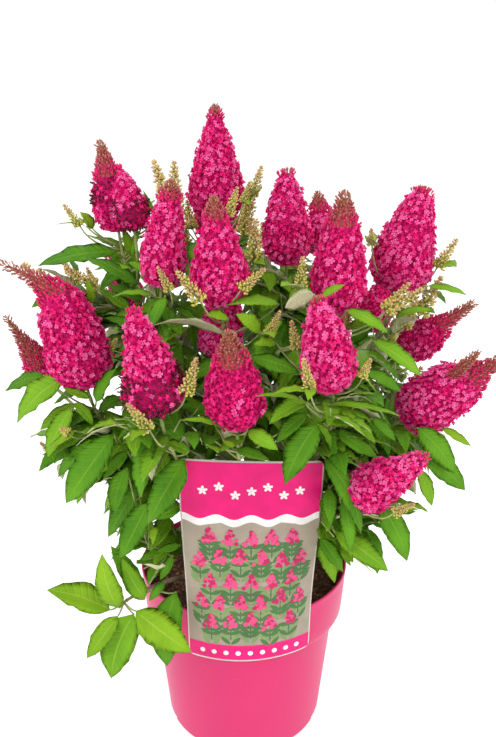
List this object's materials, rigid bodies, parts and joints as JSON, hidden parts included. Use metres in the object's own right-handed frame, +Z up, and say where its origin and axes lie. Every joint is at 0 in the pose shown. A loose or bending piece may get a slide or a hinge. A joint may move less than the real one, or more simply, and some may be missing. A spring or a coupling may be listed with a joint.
{
  "type": "potted butterfly bush",
  "caption": "Compact flowering shrub with many thin leafy stems and upright conical cerise flower heads, in a tapered plastic pot with a plain card label hooked over its rim.",
  "frame": {"origin": "centre of the pot's flat underside", "axes": "+Z up along the pot's axis, -Y towards the label at the front, +X to the right as seen from the front"},
  "size_m": [0.3971, 0.3729, 0.554],
  "materials": {
    "pot": "satin moulded plastic, hot pink",
    "compost": "coarse moist peat with bits of bark",
    "label": "smooth printed card, magenta with a pale field",
    "bark": "rough brown bark",
    "stem": "thin grey-green to brown bark",
    "foliage": "matt green leaves with paler undersides, and cerise blossom"
  },
  "bodies": {
    "root": {"pot": "pot", "compost": "compost", "label_card": "label", "woody_foot": "bark", "bough_top": "stem", "leaves_top": "foliage", "bough_upper_left": "stem", "leaves_upper_left": "foliage", "bough_inner_left": "stem", "leaves_inner_left": "foliage", "bough_centre": "stem", "leaves_centre": "foliage", "bough_inner_right": "stem", "leaves_inner_right": "foliage", "bough_right_of_centre": "stem", "leaves_right_of_centre": "foliage", "bough_upper_right": "stem", "leaves_upper_right": "foliage", "bough_left": "stem", "leaves_left": "foliage", "bough_front_left": "stem", "leaves_front_left": "foliage", "bough_front": "stem", "leaves_front": "foliage", "bough_front_right": "stem", "leaves_front_right": "foliage", "bough_right": "stem", "leaves_right": "foliage", "bough_low_right": "stem", "leaves_low_right": "foliage", "bough_back_right": "stem", "leaves_back_right": "foliage", "bough_back": "stem", "leaves_back": "foliage", "bough_back_inner": "stem", "leaves_back_inner": "foliage", "bough_low_back": "stem", "leaves_low_back": "foliage", "bough_back_left": "stem", "leaves_back_left": "foliage", "bough_low_back_right": "stem", "leaves_low_back_right": "foliage", "bough_shoot_low_left": "stem", "leaves_shoot_low_left": "foliage", "bough_shoot_low_front": "stem", "leaves_shoot_low_front": "foliage", "bough_shoot_low_right": "stem", "leaves_shoot_low_right": "foliage", "bough_shoot_upper_left": "stem", "leaves_shoot_upper_left": "foliage", "bough_shoot_side_left": "stem", "leaves_shoot_side_left": "foliage", "bough_shoot_side_right": "stem", "leaves_shoot_side_right": "foliage", "bough_shoot_back_left": "stem", "leaves_shoot_back_left": "foliage", "bough_shoot_back": "stem", "leaves_shoot_back": "foliage", "bough_shoot_back_right": "stem", "leaves_shoot_back_right": "foliage"}
  },
  "joints": []
}
